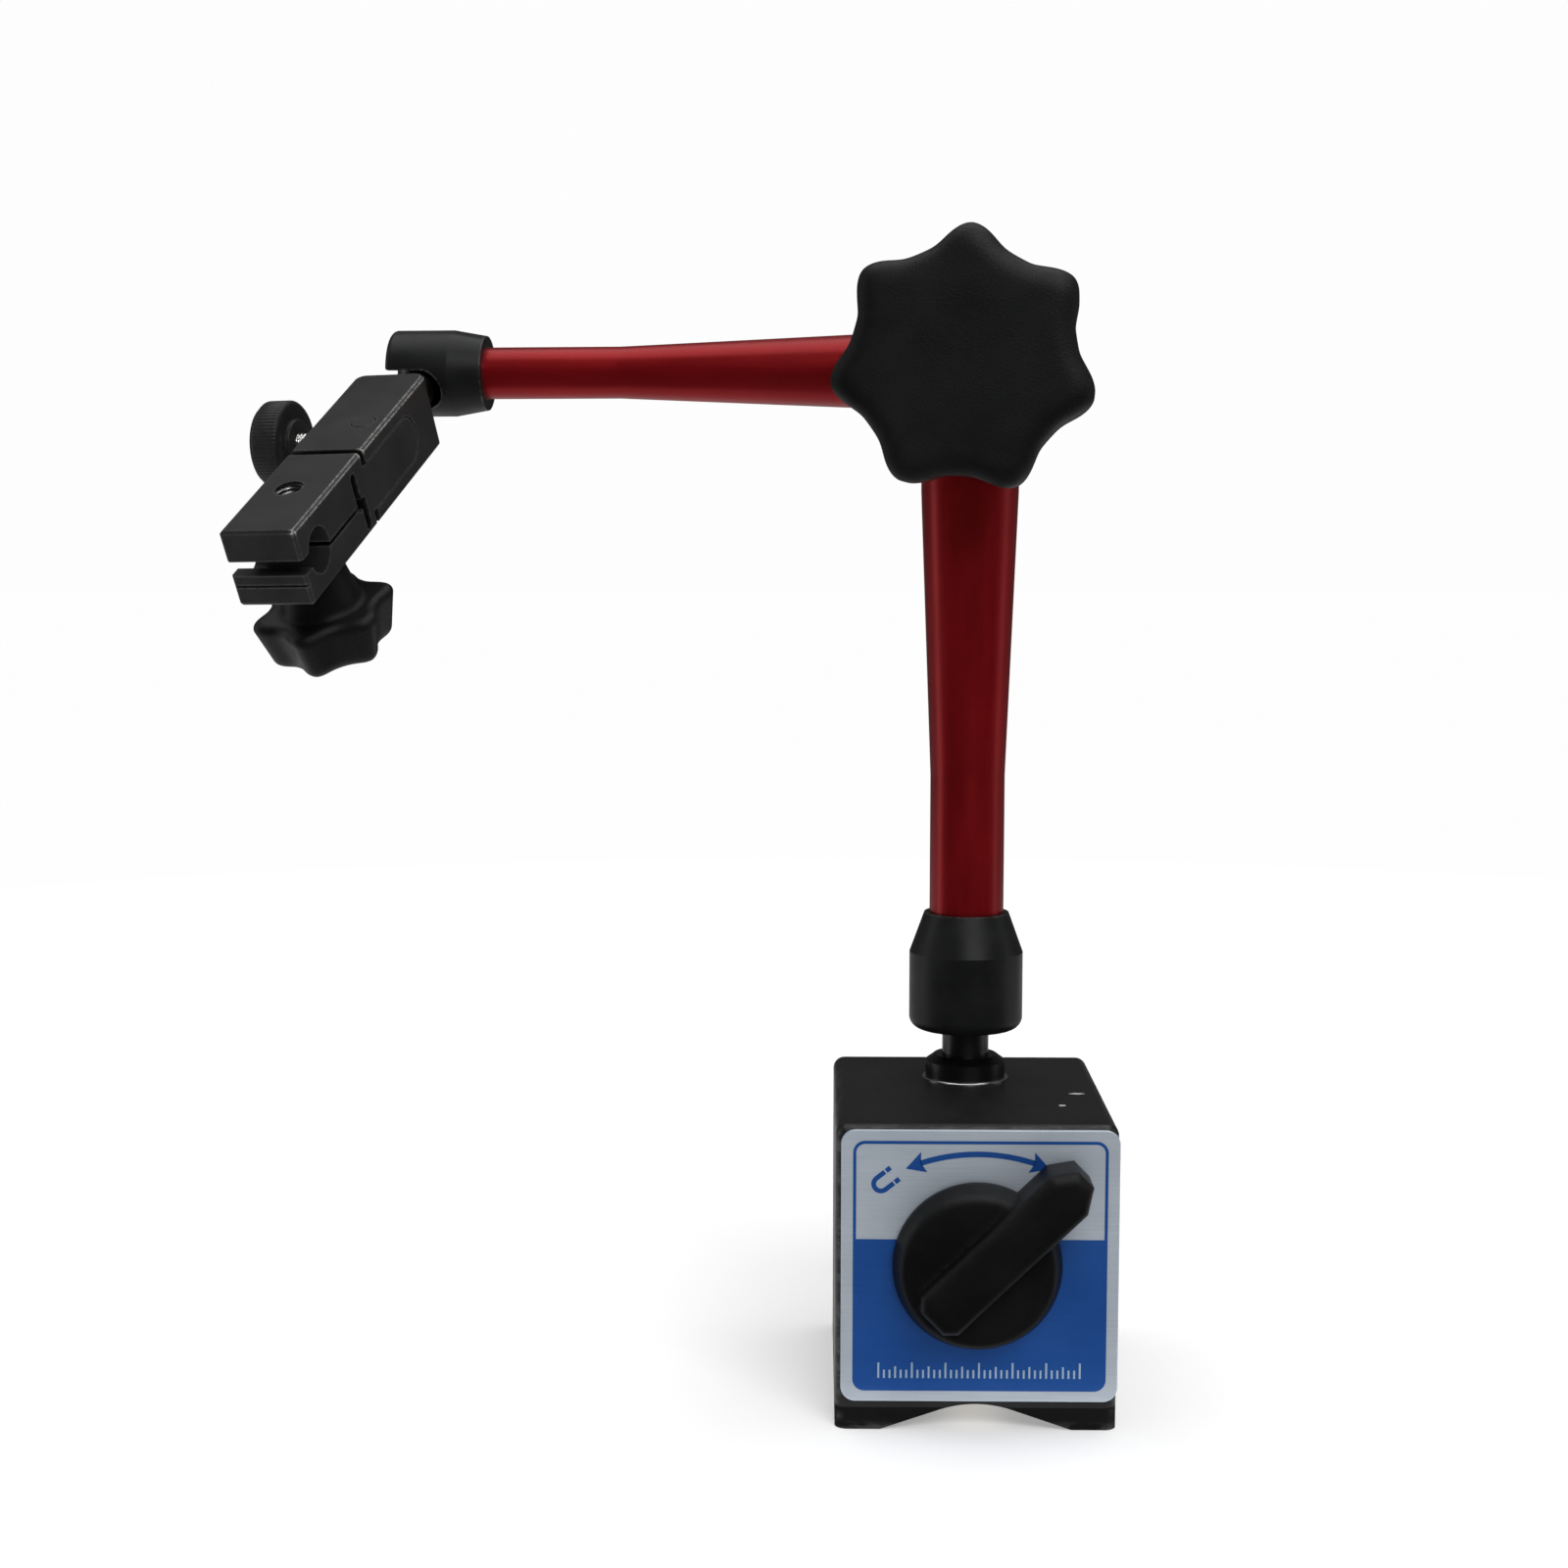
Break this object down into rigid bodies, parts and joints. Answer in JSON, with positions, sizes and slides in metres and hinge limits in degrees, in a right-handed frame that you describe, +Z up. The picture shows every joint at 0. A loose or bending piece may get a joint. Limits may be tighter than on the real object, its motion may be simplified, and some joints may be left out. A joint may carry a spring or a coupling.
{
  "type": "articulated magnetic base indicator stand",
  "caption": "Switchable magnetic base with a two-link ball-jointed arm, locked by one central lobed knob, ending in a fine-adjusting split clamp for a gauge stem.",
  "frame": {"origin": "on the resting plane, at the mouth of the vee groove, on the axis of the ball stud that stands on the base", "axes": "+Z up along the stud, -Y out of the face with the switch knob, -X the side the arm reaches over as stored"},
  "size_m": [0.1566, 0.0788, 0.212],
  "materials": {
    "black_paint": "black semi-gloss enamel on soft iron",
    "brass": "turned brass, painted over where it meets the outside",
    "printed_plate": "printed aluminium plate, silver and blue",
    "black_plastic": "moulded black plastic, fine matt texture",
    "red_anodised": "deep red anodised aluminium",
    "grey_socket": "charcoal phosphated steel, satin",
    "black_oxide": "blackened steel, bright where edges are worn",
    "bright_steel": "bright plated steel",
    "steel": "plain turned steel",
    "magnet": "dark grey sintered magnet"
  },
  "bodies": {
    "base": {"pole_block_left": "black_paint", "pole_block_right": "black_paint", "divider_top": "brass", "divider_bottom": "brass", "tie_rivet_1": "black_paint", "tie_rivet_2": "black_paint", "tie_rivet_3": "black_paint", "tie_rivet_4": "black_paint", "front_end_cap": "brass", "rear_end_cap": "brass", "faceplate": "printed_plate", "stop_pin": "bright_steel", "stud_ring": "bright_steel"},
    "switch": {"rotor_magnet": "magnet", "rotor_shoe_upper": "steel", "rotor_shoe_lower": "steel", "rotor_spacer_front": "brass", "rotor_spacer_rear": "brass", "rotor_spindle": "steel", "switch_knob": "black_plastic", "knob_set_screw": "black_oxide"},
    "lower_stud": {"lower_ball_stud": "black_oxide"},
    "lower_arm": {"lower_socket": "grey_socket", "lower_tube": "red_anodised", "lower_elbow_housing": "red_anodised", "bolt_key": "steel", "disc_spring": "steel", "thrust_washer": "steel"},
    "lower_rod": {"lower_push_rod": "steel", "lower_pressure_pad": "brass"},
    "bolt": {"draw_bolt": "black_oxide"},
    "knob": {"clamp_knob": "black_plastic", "knob_insert": "brass"},
    "upper_arm": {"upper_elbow_housing": "red_anodised", "elbow_friction_washer": "steel", "upper_tube": "red_anodised", "upper_socket": "grey_socket"},
    "upper_rod": {"upper_push_rod": "steel", "upper_pressure_pad": "brass"},
    "upper_stud": {"upper_ball_stud": "black_oxide"},
    "head": {"rear_block": "black_oxide", "pivot_pin": "black_oxide", "return_spring": "steel"},
    "fine_tip": {"fine_screw_tip": "brass"},
    "fine_drive": {"fine_screw": "bright_steel", "fine_knob": "black_oxide"},
    "clamp": {"clamp_block": "black_oxide"},
    "washer": {"clamp_washer": "black_oxide"},
    "clamp_drive": {"clamp_screw": "bright_steel", "clamp_star_knob": "black_plastic"}
  },
  "joints": [
    {"name": "switch_turn", "type": "hinge", "parent": "base", "child": "switch", "pos_m": [0, -0.04, 0.0302], "axis": [0, -1, 0], "range_deg": [0, 90]},
    {"name": "lower_ball_swivel", "type": "hinge", "parent": "base", "child": "lower_stud", "pos_m": [0, 0, 0.0722], "axis": [0, 0, 1], "continuous": true},
    {"name": "lower_ball_tilt", "type": "hinge", "parent": "lower_stud", "child": "lower_arm", "pos_m": [0, 0, 0.0722], "axis": [1, 0, 0], "range_deg": [-90, 18]},
    {"name": "elbow_fold", "type": "hinge", "parent": "lower_arm", "child": "upper_arm", "pos_m": [0, 0, 0.1884], "axis": [-0.1028, -0.9947, 0], "range_deg": [-205, 25]},
    {"name": "clamp_knob_turn", "type": "hinge", "parent": "lower_arm", "child": "knob", "pos_m": [0, 0, 0.1884], "axis": [-0.1028, -0.9947, 0], "range_deg": [0, 180]},
    {"name": "bolt_draw", "type": "slide", "parent": "lower_arm", "child": "bolt", "axis": [0.1028, 0.9947, 0], "range_m": [0, 0.00064]},
    {"name": "lower_rod_slide", "type": "slide", "parent": "lower_arm", "child": "lower_rod", "axis": [0.0034, 0.0325, 0.9995], "range_m": [0, 0.00034]},
    {"name": "upper_rod_slide", "type": "slide", "parent": "upper_arm", "child": "upper_rod", "axis": [0.9902, -0.1394, 0], "range_m": [0, 0.00034]},
    {"name": "upper_ball_tilt", "type": "hinge", "parent": "upper_arm", "child": "upper_stud", "pos_m": [-0.10245, 0.01059, 0.1884], "axis": [-0.0493, -0.4766, 0.8777], "range_deg": [-96, 8]},
    {"name": "upper_ball_swivel", "type": "hinge", "parent": "upper_stud", "child": "head", "pos_m": [-0.10245, 0.01059, 0.1884], "axis": [-0.2338, -0.8489, -0.4741], "continuous": true},
    {"name": "fine_advance", "type": "slide", "parent": "head", "child": "fine_tip", "axis": [-0.9612, 0.2751, -0.0184], "range_m": [-0.00037, 0.00037]},
    {"name": "fine_screw_turn", "type": "hinge", "parent": "fine_tip", "child": "fine_drive", "pos_m": [-0.10923, -0.01403, 0.17465], "axis": [-0.9612, 0.2751, -0.0184], "range_deg": [-180, 180]},
    {"name": "fine_swing", "type": "hinge", "parent": "head", "child": "clamp", "pos_m": [-0.10811, -0.02012, 0.17171], "axis": [-0.1461, -0.4514, 0.8803], "range_deg": [-3.3, 3.3], "deforming": ["return_spring"]},
    {"name": "clamp_screw_back", "type": "slide", "parent": "clamp", "child": "washer", "axis": [0.1461, 0.4514, -0.8803], "range_m": [0, 0.00081]},
    {"name": "clamp_screw_turn", "type": "hinge", "parent": "washer", "child": "clamp_drive", "pos_m": [-0.11737, -0.04055, 0.1597], "axis": [0.1461, 0.4514, -0.8803], "range_deg": [0, 360]}
  ],
  "couplings": [
    {"joint": "bolt_draw", "follows": "clamp_knob_turn", "m_per_rad": 0.00019894},
    {"joint": "lower_rod_slide", "follows": "clamp_knob_turn", "m_per_rad": 0.00010345},
    {"joint": "upper_rod_slide", "follows": "clamp_knob_turn", "m_per_rad": 0.00010345},
    {"joint": "fine_advance", "follows": "fine_screw_turn", "m_per_rad": 0.00011141},
    {"joint": "fine_swing", "follows": "fine_screw_turn", "ratio": 0.017684},
    {"joint": "clamp_screw_back", "follows": "clamp_screw_turn", "m_per_rad": 0.00012732}
  ]
}
